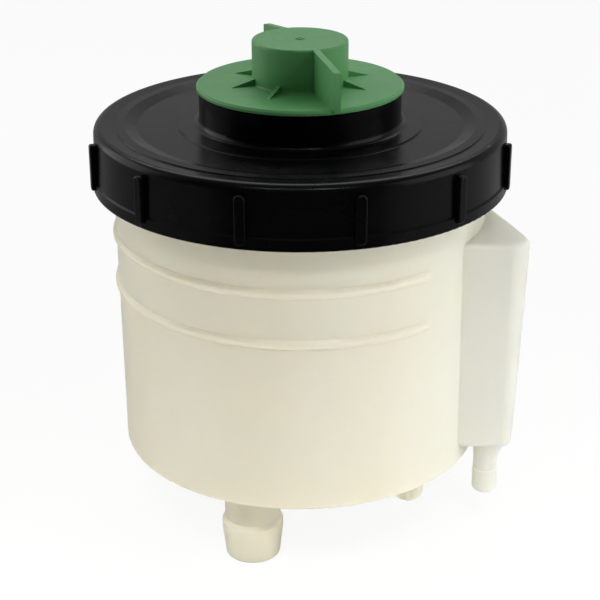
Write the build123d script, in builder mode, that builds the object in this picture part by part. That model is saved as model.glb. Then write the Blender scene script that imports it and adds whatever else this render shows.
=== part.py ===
from build123d import *
import math
import os

# Power steering reservoir: a round moulded tank with a side chamber, a large screw lid with a filler
# neck, a winged filler cap, and the filter element that the lid's spring holds down inside.
# Millimetres, +Z up. The origin is on the tank's axis in the plane of its underside.
# The front, where the suction barb hangs, is towards -Y. The side chamber is at the right, towards +X.

# Tank shell
tank_top_radius = 73.1
tank_draft = 0.8
tank_base_radius = tank_top_radius - tank_draft
tank_height = 127.2
tank_wall = 2.6
tank_floor = 3.0
tank_base_round = 1.2
tank_inner_round = 2.0
tank_inner_top = tank_top_radius - tank_wall
tank_inner_base = tank_base_radius - tank_wall
root_overlap = 1.0

# Rim and coarse thread under the lid
rim_height = 16.7
rim_step = 1.2
rim_start = tank_height - rim_height
rim_radius = tank_top_radius + rim_step
lid_pitch = 6.0
lid_thread_depth = 1.9
lid_thread_base = 2.6
lid_thread_tip = 1.4
lid_thread_clearance = 0.6
tank_thread_rise = 4.0
tank_thread_start = rim_start + tank_thread_rise
tank_thread_turns = 1.25
thread_sink = 0.5

# Screw lid
lid_wall = 3.1
lid_inner_radius = rim_radius + lid_thread_depth + lid_thread_clearance
lid_radius = lid_inner_radius + lid_wall
lid_seal_thickness = 2.5
lid_seat = tank_height + lid_seal_thickness
lid_crown = 3.1
lid_top = lid_seat + lid_crown
lid_height = 24.3
lid_bottom = lid_top - lid_height
lid_shoulder = 3.0
lid_flare = 0.5
band_proud = 0.7
band_radius = lid_radius + lid_flare + band_proud
band_height = 4.5
band_ledge = 0.6
band_round = 0.8
land_width = 7.8
land_inner_radius = lid_radius - land_width
land_drop = 0.6
bead_rise = 0.4
bead_width = 3.6
bead_radius = land_inner_radius - bead_rise
bead_inner_radius = bead_radius - bead_width
bead_top = lid_top - land_drop + bead_rise
recess_slope = 5.0
recess_radius = bead_inner_radius - recess_slope
recess_depth = 1.5
recess_floor = lid_top - recess_depth
lid_recess_wall = 3.0
lid_ceiling = recess_floor - lid_recess_wall
lip_clearance = 0.6
lip_radius = tank_inner_top - lip_clearance
lip_wall = 2.4
lip_depth = 4.5
lid_thread_turns = 1.0
lid_thread_lag = 2.4

# Grip ribs round the lid
grip_count = 12
grip_width = 4.3
grip_corner = 1.8
grip_proud = 2.6
grip_below_top = 3.9
grip_above_bottom = 2.1
grip_bottom = lid_bottom + grip_above_bottom
grip_top = lid_top - grip_below_top
grip_edge = 0.8

# Filler neck and the throat below it
neck_bore_radius = 35.2
neck_wall = 3.9
neck_radius = neck_bore_radius + neck_wall
neck_height = 13.3
neck_top = recess_floor + neck_height
neck_foot_round = 2.4
collar_width = 8.3
collar_radius = neck_radius + collar_width
collar_rise = 0.5
ledge_depth = 13.6
ledge_height = neck_top - ledge_depth
ledge_width = 2.2
throat_radius = neck_bore_radius - ledge_width
throat_wall = 3.5
throat_outer_radius = throat_radius + throat_wall
throat_depth = 19.0
throat_bottom = ledge_height - throat_depth

# Hold-down spring, its cup, and the spider in the throat that carries the cup
hold_spring_radius = 18.4
hold_wire = 2.2
hold_spring_turns = 3
hold_spring_length = 25.3
spider_inside_spring = 2.9
spider_outside_spring = 3.1
spider_inner_radius = hold_spring_radius - spider_inside_spring
spider_outer_radius = hold_spring_radius + spider_outside_spring
spider_thickness = 3.0
spider_arms = 3
spider_arm_width = 4.0
spider_arm_depth = 4.5
cup_margin = 0.2
cup_radius = spider_outer_radius - cup_margin
cup_thickness = 1.5
cup_bottom = throat_bottom - cup_thickness
cup_collar_clearance = 0.7
cup_collar_radius = hold_spring_radius - hold_wire / 2 - cup_collar_clearance
cup_collar_wall = 1.6
cup_collar_depth = 5.0

# Filler cap
flange_overhang = 0.9
flange_radius = neck_radius + flange_overhang
flange_gap = 0.8
flange_bottom = neck_top + flange_gap
flange_rim_height = 1.7
flange_rim_top = flange_bottom + flange_rim_height
flange_rise = 0.6
flange_thickness = 2.2
flange_bevel = 0.8
knob_radius = 18.5
knob_height = 17.0
knob_top = flange_rim_top + knob_height
knob_wall = 2.2
knob_inner_radius = knob_radius - knob_wall
knob_foot = flange_rim_top + flange_rise
knob_round = 1.0
knob_foot_round = 0.8
wing_azimuth = -70.5
wing_thickness = 2.6
wing_proud = 0.4
wing_reach = flange_radius + wing_proud
wing_bottom = flange_bottom + wing_proud
wing_bite = 0.8
wing_slope = 3.4
wing_root = knob_inner_radius + knob_wall / 4
wing_corner = 0.8
gusset_thickness = 1.4
gusset_height = 2.7
gusset_length = 10.8
gusset_reach = knob_radius + gusset_length
gussets_a_side = 3
vent_ring_radius = 1.7
vent_ring_rise = 0.3
vent_hole_radius = 0.5

# Threaded plug under the filler cap
plug_clearance = 1.6
plug_radius = neck_bore_radius - plug_clearance
plug_wall = 2.4
plug_inner_radius = plug_radius - plug_wall
plug_depth = 12.2
plug_bottom = flange_bottom - plug_depth
cap_pitch = 5.0
cap_thread_depth = 1.1
cap_thread_base = 2.2
cap_thread_tip = 1.3
cap_thread_rise = 2.8
cap_thread_start = plug_bottom + cap_thread_rise
cap_thread_turns = 1.0
cap_thread_clearance = 0.5
neck_thread_turns = 0.75
neck_thread_lead = 2.1

# Seals
lid_seal_lip_gap = 0.8
lid_seal_overhang = 0.9
lid_seal_inner = lip_radius + lid_seal_lip_gap
lid_seal_outer = rim_radius + lid_seal_overhang
cap_seal_margin_inside = 0.3
cap_seal_margin_outside = 0.4
cap_seal_inner = neck_bore_radius + cap_seal_margin_inside
cap_seal_outer = neck_radius - cap_seal_margin_outside
cap_seal_thickness = 1.4
seal_groove_gap = 0.2
seal_groove_top = neck_top + cap_seal_thickness
seal_edge = 0.4

# Breather in the knob
retainer_rise = 0.9
retainer_height = flange_rim_top + retainer_rise
retainer_thickness = 2.0
retainer_top = retainer_height + retainer_thickness
retainer_fit = 0.1
retainer_radius = knob_inner_radius - retainer_fit
retainer_ring_inset = 2.2
retainer_ring_radius = retainer_radius - retainer_ring_inset
retainer_ring_wall = 1.6
retainer_ring_rise = 6.0
retainer_hole_radius = 1.0
retainer_hole_circle = 4.0
retainer_holes = 6
valve_stem_radius = 1.5
valve_stem_fit = 0.1
valve_lip_radius = 6.5
valve_lip_thickness = 0.8
valve_bulb_radius = 2.4
felt_thickness = 3.4

# Strainer in the neck
strainer_clearance = 2.4
strainer_wall = 1.6
strainer_outer_radius = throat_radius - strainer_clearance
strainer_inner_radius = strainer_outer_radius - strainer_wall
strainer_ledge = 3.0
strainer_fit = 0.2
strainer_flange_thickness = 1.5
strainer_depth = 13.0
strainer_bottom = ledge_height - strainer_depth
strainer_floor = strainer_bottom + strainer_wall
strainer_windows = 8
strainer_window_width = 17.0
strainer_window_height = 8.0
strainer_window_rise = 3.5
strainer_spoke_width = 2.0
mesh_thickness = 0.5
mesh_fit = 0.1

# Filter element, its seat and its spigot on the tank's floor
spigot_radius = 13.0
spigot_wall = 2.6
spigot_fit = 0.15
grommet_inner_radius = spigot_radius + spigot_fit
grommet_wall = 3.45
grommet_lip = 1.4
grommet_waist = grommet_inner_radius + grommet_lip
seat_radius = grommet_inner_radius + grommet_wall
filter_rise = 21.0
filter_bottom = tank_floor + filter_rise
seat_top = filter_bottom - grommet_lip
spigot_reach = 9.0
spigot_top = filter_bottom + spigot_reach
plate_thickness = 1.2
plate_rim = 4.0
plate_top = cup_bottom - hold_spring_length
filter_top = plate_top - plate_thickness
core_clearance = 0.8
core_wall = 1.0
core_inner_radius = seat_radius + core_clearance
core_radius = core_inner_radius + core_wall
core_hole_radius = 2.2
core_hole_columns = 8
core_hole_rows = 6
paper_clearance = 0.8
paper_inner = core_radius + paper_clearance
paper_depth = 21.1
paper_outer = paper_inner + paper_depth
paper_thickness = 0.6
paper_pleats = 44
plate_clearance = 0.5
plate_radius = paper_outer + plate_clearance + plate_thickness

# Bypass valve on the top plate
bypass_hole_radius = 6.0
bypass_seat_width = 2.0
bypass_disc_radius = bypass_hole_radius + bypass_seat_width
bypass_disc_thickness = 1.5
bypass_boss_radius = 3.6
bypass_boss_height = 1.6
bypass_spring_room = 1.6
bypass_spring_radius = bypass_boss_radius + bypass_spring_room
bypass_wire = 0.9
bypass_spring_turns = 4
cage_room = 4.2
cage_radius = bypass_disc_radius + cage_room
cage_wall = 1.5
cage_height = 13.0
cage_windows = 4
cage_window_width = 11.0

# Side chamber, whose outer wall runs tangent into the tank's wall
chamber_below_lid = 13.2
chamber_top = lid_bottom - chamber_below_lid
chamber_bottom = 6.5
chamber_front = 40.0
chamber_proud = 16.9
chamber_reach = tank_top_radius + chamber_proud
chamber_blend = 0.2
chamber_root = 6.0
chamber_lean = 3.1
chamber_draft = math.degrees(math.atan(chamber_lean / (chamber_top - chamber_bottom)))
chamber_wall = 2.4
chamber_floor = chamber_bottom + chamber_wall
chamber_corner = 7.5
chamber_top_round = 2.0
chamber_bottom_round = 4.0

# Strap ribs, which guide the clamping band
strap_room = 20.0
strap_below_roof = 6.0
strap_rib_upper = chamber_top - strap_below_roof
strap_rib_lower = strap_rib_upper - strap_room
strap_rib_proud = 1.3
strap_rib_base = 4.0
strap_rib_crest = 1.2
strap_rib_round = 1.3
strap_rib_flank = (strap_rib_base - strap_rib_crest) / 2
strap_rib_from = 38.0
strap_rib_sweep = 272.0

# Duct from the chamber to the filter's spigot, and the air slot between chamber and tank
duct_angle = -18.0
duct_width = 14.0
duct_wall = 2.2
duct_below_seat = 0.6
duct_top = seat_top - duct_below_seat
vent_slot_width = 10.0
vent_slot_height = 5.0

# Return nipple under the chamber
nipple_from_side = 15.3
nipple_from_front = 12.0
nipple_x = chamber_reach - nipple_from_side
nipple_y = nipple_from_front - chamber_front
nipple_stem_radius = 4.75
nipple_land_radius = 4.95
nipple_bore_radius = 3.0
nipple_end = -16.0
nipple_land_top = -6.0
nipple_end_round = 1.8
nipple_root_radius = 6.6
nipple_root_shift = 1.3
nipple_root_end = -1.5

# Suction barb under the tank
barb_x = -19.1
barb_y = -48.0
barb_stem_radius = 10.95
barb_ridge_radius = 12.05
barb_tip_radius = 10.65
barb_bore_radius = 8.3
barb_ridge_start = -15.5
barb_land_top = -17.5
barb_land_bottom = -20.5
barb_end = -32.5
barb_end_round = 1.0

# Locating peg under the tank
peg_x = 42.6
peg_y = -45.0
peg_radius = 5.9
peg_end = -9.5
peg_end_round = 2.5

os.makedirs("parts", exist_ok=True)


def tank_radius_at(height):
    """Outer radius of the drafted tank wall at a height."""
    return tank_base_radius + (tank_top_radius - tank_base_radius) * height / rim_start


def radial_plane(angle):
    """Upright plane through the tank's axis, its x pointing out at an angle and its y pointing up."""
    x_dir = (math.cos(math.radians(angle)), math.sin(math.radians(angle)), 0)
    z_dir = (math.sin(math.radians(angle)), -math.cos(math.radians(angle)), 0)
    return Plane(origin=(0, 0, 0), x_dir=x_dir, z_dir=z_dir)


def about_axis(radius, angle, height=0.0):
    """Point at a radius and an angle in degrees about the tank's axis."""
    return (radius * math.cos(math.radians(angle)), radius * math.sin(math.radians(angle)), height)


def finish(solid, label):
    """Label a finished piece and write it."""
    solid.label = label
    export_step(solid, "parts/" + label + ".step")


def pleat(radius, turn, half_width):
    """Two points at a radius, a half width to each side of an angle in degrees."""
    half_turn = math.degrees(half_width / radius)
    return [about_axis(radius, turn - half_turn)[:2], about_axis(radius, turn + half_turn)[:2]]


def thread_ridge(pitch, turns, start, root, crest, base_width, tip_width):
    """Helical ridge of trapezoid section, rooted at one radius and crested at another."""
    with BuildPart() as ridge:
        with BuildLine() as path:
            Helix(pitch, pitch * turns, root, center=(0, 0, start))
        with BuildSketch(Plane(origin=path.line @ 0, x_dir=(1, 0, 0), z_dir=path.line % 0)):
            with BuildLine():
                Polyline(
                    (0, -base_width / 2),
                    (crest - root, -tip_width / 2),
                    (crest - root, tip_width / 2),
                    (0, base_width / 2),
                    close=True,
                )
            make_face()
        sweep(path=path.line, is_frenet=True)
    return ridge.part


def coil_spring(radius, wire, turns, bottom, top):
    """Round-wire compression spring between two flat seats, its wire just clear of them."""
    with BuildPart() as spring:
        with BuildLine() as path:
            travel = top - bottom - wire
            Helix(travel / turns, travel, radius, center=(0, 0, bottom + wire / 2))
        with BuildSketch(Plane(origin=path.line @ 0, x_dir=(1, 0, 0), z_dir=path.line % 0)):
            Circle(wire / 2)
        sweep(path=path.line, is_frenet=True)
    return spring.part


def seal_ring(inner, outer, bottom, thickness):
    """Flat rubber ring with softened edges."""
    with BuildPart() as ring:
        with BuildSketch(Plane.XY.offset(bottom)):
            Circle(outer)
            Circle(inner, mode=Mode.SUBTRACT)
        extrude(amount=thickness)
        fillet(ring.edges().filter_by(GeomType.CIRCLE), seal_edge)
    return ring.part


def chamber_outline():
    """Plan of the side chamber: both ends of its front wall, then both ends of its back edge."""
    root_radius = tank_inner_base - chamber_root
    corner_angle = math.degrees(math.atan2(-chamber_front, chamber_reach))
    tangent_radius = tank_radius_at(chamber_top) - chamber_blend
    tangent_turn = math.degrees(math.acos(tangent_radius / math.hypot(chamber_reach, chamber_front)))
    return [
        (math.sqrt(root_radius**2 - chamber_front**2), -chamber_front),
        (chamber_reach, -chamber_front),
        about_axis(tangent_radius, corner_angle + tangent_turn)[:2],
        about_axis(root_radius, corner_angle + tangent_turn)[:2],
    ]


def stands_outside_tank(edge):
    """Whether the middle of an edge stands outside the tank's wall."""
    middle = edge @ 0.5
    return math.hypot(middle.X, middle.Y) > tank_base_radius


def upright_plane(x, y):
    """Plane through an upright axis at x and y, facing the front, for turning a section about that axis."""
    return Plane(origin=(x, y, 0), x_dir=(1, 0, 0), z_dir=(0, -1, 0))


# Tank body
tank_thread = thread_ridge(
    lid_pitch,
    tank_thread_turns,
    tank_thread_start,
    rim_radius - thread_sink,
    rim_radius + lid_thread_depth,
    lid_thread_base,
    lid_thread_tip,
)

with BuildPart() as tank_inside:
    with BuildSketch(Plane.XZ) as inside_profile:
        with BuildLine():
            Polyline(
                (0, tank_floor),
                (tank_inner_base, tank_floor),
                (tank_inner_top, rim_start),
                (tank_inner_top, tank_height),
                (0, tank_height),
                close=True,
            )
        make_face()
        fillet(inside_profile.vertices().sort_by_distance((tank_inner_base, tank_floor))[0], tank_inner_round)
    revolve(axis=Axis.Z)

with BuildPart() as tank_outside:
    with BuildSketch(Plane.XZ) as outside_profile:
        with BuildLine():
            Polyline(
                (0, 0),
                (tank_base_radius, 0),
                (tank_top_radius, rim_start - rim_step),
                (rim_radius, rim_start),
                (rim_radius, tank_height),
                (0, tank_height),
                close=True,
            )
        make_face()
        fillet(outside_profile.vertices().sort_by_distance((tank_base_radius, 0))[0], tank_base_round)
    revolve(axis=Axis.Z)

with BuildPart() as chamber_block:
    with BuildSketch(Plane.XY.offset(chamber_top)) as chamber_plan:
        with BuildLine():
            Polyline(*chamber_outline(), close=True)
        make_face()
        fillet(chamber_plan.vertices().sort_by_distance((chamber_reach, -chamber_front))[0], chamber_corner)
    extrude(amount=chamber_bottom - chamber_top, taper=chamber_draft)
    fillet(chamber_block.edges().group_by(Axis.Z)[-1].filter_by(stands_outside_tank), chamber_top_round)
    fillet(chamber_block.edges().group_by(Axis.Z)[0].filter_by(stands_outside_tank), chamber_bottom_round)

with BuildPart() as chamber_space:
    with BuildSketch(Plane.XY.offset(chamber_top - chamber_wall)) as space_plan:
        with BuildLine():
            Polyline(*chamber_outline(), close=True)
        make_face()
        fillet(space_plan.vertices().sort_by_distance((chamber_reach, -chamber_front))[0], chamber_corner)
        offset(amount=-chamber_wall, mode=Mode.REPLACE)
    extrude(amount=chamber_floor - chamber_top + chamber_wall, taper=chamber_draft)
    add(tank_outside.part, mode=Mode.SUBTRACT)

with BuildPart() as nipple_root:
    with BuildSketch(Plane.XY.offset(chamber_bottom + root_overlap)):
        with Locations((nipple_x + nipple_root_shift, nipple_y)):
            Circle(nipple_root_radius)
    with BuildSketch(Plane.XY.offset(nipple_root_end)):
        with Locations((nipple_x, nipple_y)):
            Circle(nipple_stem_radius)
    loft()

with BuildPart() as tank_body:
    add(tank_outside.part)
    add(chamber_block.part)
    add(tank_inside.part, mode=Mode.SUBTRACT)
    add(chamber_space.part, mode=Mode.SUBTRACT)
    add(tank_thread)

    # Strap ribs run from the front, round the left and the back, and leave the chamber free
    strap_rib_root = strap_rib_crest / 2 + strap_rib_flank * (1 + root_overlap / strap_rib_proud)
    for height in (strap_rib_lower, strap_rib_upper):
        wall = tank_radius_at(height)
        with BuildSketch(radial_plane(strap_rib_from)) as rib_section:
            with BuildLine():
                Polyline(
                    (wall - root_overlap, height - strap_rib_root),
                    (wall + strap_rib_proud, height - strap_rib_crest / 2),
                    (wall + strap_rib_proud, height + strap_rib_crest / 2),
                    (wall - root_overlap, height + strap_rib_root),
                    close=True,
                )
            make_face()
            fillet(rib_section.vertices().group_by(Axis.X)[-1], strap_rib_round)
        revolve(axis=Axis.Z, revolution_arc=strap_rib_sweep)

    # Return nipple
    add(nipple_root.part)
    with BuildSketch(upright_plane(nipple_x, nipple_y)) as nipple_section:
        with BuildLine():
            Polyline(
                (0, chamber_bottom + root_overlap),
                (nipple_stem_radius, chamber_bottom + root_overlap),
                (nipple_stem_radius, nipple_land_top + nipple_land_radius - nipple_stem_radius),
                (nipple_land_radius, nipple_land_top),
                (nipple_land_radius, nipple_end),
                (0, nipple_end),
                close=True,
            )
        make_face()
        tip_corner = nipple_section.vertices().sort_by_distance((nipple_land_radius, nipple_end))[0]
        fillet(tip_corner, nipple_end_round)
    revolve(axis=Axis((nipple_x, nipple_y, 0), (0, 0, 1)))
    with BuildSketch(Plane.XY.offset(nipple_end)):
        with Locations((nipple_x, nipple_y)):
            Circle(nipple_bore_radius)
    extrude(amount=chamber_floor - nipple_end, mode=Mode.SUBTRACT)

    # Suction barb
    with BuildSketch(upright_plane(barb_x, barb_y)) as barb_section:
        with BuildLine():
            Polyline(
                (0, root_overlap),
                (barb_stem_radius, root_overlap),
                (barb_stem_radius, barb_ridge_start),
                (barb_ridge_radius, barb_land_top),
                (barb_ridge_radius, barb_land_bottom),
                (barb_tip_radius, barb_end),
                (0, barb_end),
                close=True,
            )
        make_face()
        fillet(barb_section.vertices().sort_by_distance((barb_tip_radius, barb_end))[0], barb_end_round)
    revolve(axis=Axis((barb_x, barb_y, 0), (0, 0, 1)))
    with BuildSketch(Plane.XY.offset(barb_end)):
        with Locations((barb_x, barb_y)):
            Circle(barb_bore_radius)
    extrude(amount=tank_floor - barb_end, mode=Mode.SUBTRACT)

    # Locating peg
    with BuildSketch(upright_plane(peg_x, peg_y)) as peg_section:
        with BuildLine():
            Polyline(
                (0, root_overlap),
                (peg_radius, root_overlap),
                (peg_radius, peg_end),
                (0, peg_end),
                close=True,
            )
        make_face()
        fillet(peg_section.vertices().sort_by_distance((peg_radius, peg_end))[0], peg_end_round)
    revolve(axis=Axis((peg_x, peg_y, 0), (0, 0, 1)))

    # Filter seat, its spigot and the duct from the chamber
    with BuildSketch(Plane.XY.offset(tank_floor - root_overlap)):
        Circle(seat_radius)
    extrude(amount=seat_top - tank_floor + root_overlap)
    with BuildSketch(Plane.XY.offset(tank_floor - root_overlap)):
        Circle(spigot_radius)
    extrude(amount=spigot_top - tank_floor + root_overlap)
    with BuildSketch(Plane.XY.offset(tank_floor - root_overlap).rotated((0, 0, duct_angle))):
        with Locations(((tank_inner_base + root_overlap) / 2, 0)):
            Rectangle(tank_inner_base + root_overlap, duct_width)
    extrude(amount=duct_top - tank_floor + root_overlap)
    with BuildSketch(Plane.XY.offset(tank_floor)):
        Circle(spigot_radius - spigot_wall)
    extrude(amount=spigot_top - tank_floor, mode=Mode.SUBTRACT)
    with BuildSketch(Plane.XY.offset(tank_floor).rotated((0, 0, duct_angle))):
        with Locations((tank_inner_base / 2, 0)):
            Rectangle(tank_inner_base, duct_width - 2 * duct_wall)
    extrude(amount=duct_top - duct_wall - tank_floor, mode=Mode.SUBTRACT)
    with BuildSketch(Plane.XY.offset(chamber_floor).rotated((0, 0, duct_angle))):
        with Locations((tank_inner_base, 0)):
            Rectangle(4 * tank_wall, duct_width - 2 * duct_wall)
    extrude(amount=duct_top - duct_wall - chamber_floor, mode=Mode.SUBTRACT)

    # Air slot between the chamber and the tank
    slot_bottom = chamber_top - chamber_wall - vent_slot_height
    with BuildSketch(Plane.XY.offset(slot_bottom).rotated((0, 0, duct_angle))):
        with Locations((tank_inner_top, 0)):
            Rectangle(4 * tank_wall, vent_slot_width)
    extrude(amount=vent_slot_height, mode=Mode.SUBTRACT)
finish(tank_body.part, "tank_body")

# Screw lid
lid_thread = thread_ridge(
    lid_pitch,
    lid_thread_turns,
    tank_thread_start - lid_thread_lag,
    lid_inner_radius + thread_sink,
    rim_radius + lid_thread_clearance,
    lid_thread_base,
    lid_thread_tip,
)
neck_thread = thread_ridge(
    cap_pitch,
    neck_thread_turns,
    cap_thread_start + neck_thread_lead,
    neck_bore_radius + thread_sink,
    plug_radius + cap_thread_clearance,
    cap_thread_base,
    cap_thread_tip,
)

with BuildPart() as grip_rib:
    with BuildSketch(Plane.YZ.offset(lid_radius - root_overlap)):
        with Locations((0, (grip_bottom + grip_top) / 2)):
            RectangleRounded(grip_width, grip_top - grip_bottom, grip_corner)
    extrude(amount=root_overlap + grip_proud)
    fillet(grip_rib.edges().group_by(Axis.X)[-1], grip_edge)

with BuildPart() as screw_lid:
    with BuildSketch(Plane.XZ) as lid_section:
        with BuildLine():
            Polyline(
                (lid_inner_radius, lid_bottom),
                (band_radius, lid_bottom),
                (band_radius, lid_bottom + band_height),
                (lid_radius + lid_flare, lid_bottom + band_height + band_ledge),
                (lid_radius, lid_top),
                (land_inner_radius, lid_top - land_drop),
                (bead_radius, bead_top),
                (bead_inner_radius, bead_top),
                (recess_radius, recess_floor),
                (collar_radius + collar_rise, recess_floor),
                (collar_radius, recess_floor + collar_rise),
                (neck_radius, recess_floor + collar_rise),
                (neck_radius, neck_top),
                (neck_bore_radius, neck_top),
                (neck_bore_radius, ledge_height),
                (throat_radius, ledge_height),
                (throat_radius, throat_bottom),
                (throat_outer_radius, throat_bottom),
                (throat_outer_radius, lid_ceiling),
                (lip_radius - lip_wall, lid_ceiling),
                (lip_radius - lip_wall, lid_ceiling - lip_depth),
                (lip_radius, lid_ceiling - lip_depth),
                (lip_radius, lid_seat),
                (lid_inner_radius, lid_seat),
                close=True,
            )
        make_face()
        fillet(lid_section.vertices().sort_by_distance((lid_radius, lid_top))[0], lid_shoulder)
        neck_foot = lid_section.vertices().sort_by_distance((neck_radius, recess_floor + collar_rise))[0]
        fillet(neck_foot, neck_foot_round)
        fillet(lid_section.vertices().sort_by_distance((band_radius, lid_bottom))[0], band_round)
    revolve(axis=Axis.Z)
    with PolarLocations(0, grip_count, start_angle=180 / grip_count):
        add(grip_rib.part)
    add(lid_thread)
    add(neck_thread)

    # Spider: a ring on arms that carries the spring cup
    with BuildSketch(Plane.XY.offset(throat_bottom)):
        with PolarLocations((spider_outer_radius + throat_radius) / 2, spider_arms):
            Rectangle(throat_radius - spider_outer_radius + 2 * root_overlap, spider_arm_width)
    extrude(amount=spider_arm_depth)
    with BuildSketch(Plane.XY.offset(throat_bottom)):
        Circle(spider_outer_radius)
        Circle(spider_inner_radius, mode=Mode.SUBTRACT)
    extrude(amount=spider_thickness)
finish(screw_lid.part, "screw_lid")

finish(seal_ring(lid_seal_inner, lid_seal_outer, tank_height, lid_seal_thickness), "lid_seal")

# Filler cap
cap_ceiling = flange_rim_top - flange_thickness
wing_outer_top = knob_top - wing_slope

cap_thread = thread_ridge(
    cap_pitch,
    cap_thread_turns,
    cap_thread_start,
    plug_radius - thread_sink,
    plug_radius + cap_thread_depth,
    cap_thread_base,
    cap_thread_tip,
)

with BuildPart() as filler_cap:
    with BuildSketch(Plane.XZ) as cap_section:
        with BuildLine():
            Polyline(
                (plug_inner_radius, plug_bottom),
                (plug_radius, plug_bottom),
                (plug_radius, flange_bottom),
                (cap_seal_inner - seal_groove_gap, flange_bottom),
                (cap_seal_inner - seal_groove_gap, seal_groove_top),
                (cap_seal_outer + seal_groove_gap, seal_groove_top),
                (cap_seal_outer + seal_groove_gap, flange_bottom),
                (flange_radius, flange_bottom),
                (flange_radius, flange_rim_top - flange_bevel),
                (flange_radius - flange_bevel, flange_rim_top),
                (knob_radius, knob_foot),
                (knob_radius, knob_top),
                (0, knob_top),
                (0, knob_top - knob_wall),
                (knob_inner_radius, knob_top - knob_wall),
                (knob_inner_radius, cap_ceiling),
                (plug_inner_radius, cap_ceiling),
                close=True,
            )
        make_face()
        fillet(cap_section.vertices().sort_by_distance((knob_radius, knob_top))[0], knob_round)
        fillet(cap_section.vertices().sort_by_distance((knob_radius, knob_foot))[0], knob_foot_round)
    revolve(axis=Axis.Z)
    add(cap_thread)

    # Two wings opposite each other, out over the flange's rim, and three low gussets on each side between them
    for side in (0, 180):
        with BuildSketch(radial_plane(wing_azimuth + side)) as wing_outline:
            with BuildLine():
                Polyline(
                    (wing_root, flange_rim_top - root_overlap),
                    (flange_radius - wing_bite, flange_rim_top - root_overlap),
                    (flange_radius - wing_bite, wing_bottom),
                    (wing_reach, wing_bottom),
                    (wing_reach, wing_outer_top),
                    (wing_root, knob_top),
                    close=True,
                )
            make_face()
            fillet(wing_outline.vertices().sort_by_distance((wing_reach, wing_outer_top))[0], wing_corner)
        extrude(amount=wing_thickness / 2, both=True)
        for step in range(1, gussets_a_side + 1):
            with BuildSketch(radial_plane(wing_azimuth + side + step * 180 / (gussets_a_side + 1))):
                with BuildLine():
                    Polyline(
                        (knob_radius - root_overlap, flange_rim_top),
                        (gusset_reach, flange_rim_top),
                        (knob_radius - root_overlap, knob_foot + gusset_height),
                        close=True,
                    )
                make_face()
            extrude(amount=gusset_thickness / 2, both=True)

    # Vent pip with its hole
    with BuildSketch(Plane.XY.offset(knob_top)):
        Circle(vent_ring_radius)
    extrude(amount=vent_ring_rise)
    with BuildSketch(Plane.XY.offset(knob_top - knob_wall)):
        Circle(vent_hole_radius)
    extrude(amount=knob_wall + vent_ring_rise, mode=Mode.SUBTRACT)
finish(filler_cap.part, "filler_cap")

finish(seal_ring(cap_seal_inner, cap_seal_outer, neck_top, cap_seal_thickness), "cap_seal")

# Breather in the knob
with BuildPart() as vent_retainer:
    with BuildSketch(Plane.XY.offset(retainer_height)):
        Circle(retainer_radius)
        Circle(valve_stem_radius + valve_stem_fit, mode=Mode.SUBTRACT)
        with PolarLocations(retainer_hole_circle, retainer_holes):
            Circle(retainer_hole_radius, mode=Mode.SUBTRACT)
    extrude(amount=retainer_thickness)
    with BuildSketch(Plane.XY.offset(retainer_top)):
        Circle(retainer_ring_radius)
        Circle(retainer_ring_radius - retainer_ring_wall, mode=Mode.SUBTRACT)
    extrude(amount=retainer_ring_rise)
finish(vent_retainer.part, "vent_retainer")

with BuildPart() as vent_valve:
    with BuildSketch(Plane.XZ):
        with BuildLine():
            Polyline(
                (0, retainer_height - 2 * valve_lip_thickness),
                (valve_bulb_radius, retainer_height - 2 * valve_lip_thickness),
                (valve_lip_radius, retainer_height - valve_lip_thickness / 2),
                (valve_lip_radius, retainer_height),
                (valve_stem_radius, retainer_height),
                (valve_stem_radius, retainer_top),
                (valve_bulb_radius, retainer_top),
                (valve_stem_radius, retainer_top + valve_bulb_radius),
                (0, retainer_top + valve_bulb_radius),
                close=True,
            )
        make_face()
    revolve(axis=Axis.Z)
finish(vent_valve.part, "vent_valve")

with BuildPart() as vent_felt:
    with BuildSketch(Plane.XY.offset(retainer_top + retainer_ring_rise)):
        Circle(retainer_radius)
    extrude(amount=felt_thickness)
finish(vent_felt.part, "vent_felt")

# Strainer in the neck
with BuildPart() as strainer_frame:
    with BuildSketch(Plane.XZ):
        with BuildLine():
            Polyline(
                (strainer_inner_radius - strainer_ledge, strainer_bottom),
                (strainer_outer_radius, strainer_bottom),
                (strainer_outer_radius, ledge_height),
                (neck_bore_radius - strainer_fit, ledge_height),
                (neck_bore_radius - strainer_fit, ledge_height + strainer_flange_thickness),
                (strainer_inner_radius, ledge_height + strainer_flange_thickness),
                (strainer_inner_radius, strainer_floor),
                (strainer_inner_radius - strainer_ledge, strainer_floor),
                close=True,
            )
        make_face()
    revolve(axis=Axis.Z)
    with BuildSketch(Plane.XY.offset(strainer_bottom)):
        Rectangle(2 * strainer_inner_radius, strainer_spoke_width)
        Rectangle(strainer_spoke_width, 2 * strainer_inner_radius)
    extrude(amount=strainer_wall)
    with BuildSketch(Plane.XY.offset(strainer_bottom + strainer_window_rise)):
        with PolarLocations(strainer_inner_radius, strainer_windows, start_angle=180 / strainer_windows):
            Rectangle(4 * strainer_wall, strainer_window_width)
    extrude(amount=strainer_window_height, mode=Mode.SUBTRACT)
finish(strainer_frame.part, "strainer_frame")

with BuildPart() as strainer_mesh:
    with BuildSketch(Plane.XY.offset(strainer_floor + mesh_fit)):
        Circle(strainer_inner_radius - mesh_fit)
    extrude(amount=ledge_height - strainer_floor - mesh_fit)
    with BuildSketch(Plane.XY.offset(strainer_floor + mesh_fit + mesh_thickness)):
        Circle(strainer_inner_radius - mesh_fit - mesh_thickness)
    extrude(amount=ledge_height - strainer_floor - mesh_fit - mesh_thickness, mode=Mode.SUBTRACT)
finish(strainer_mesh.part, "strainer_mesh")

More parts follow.
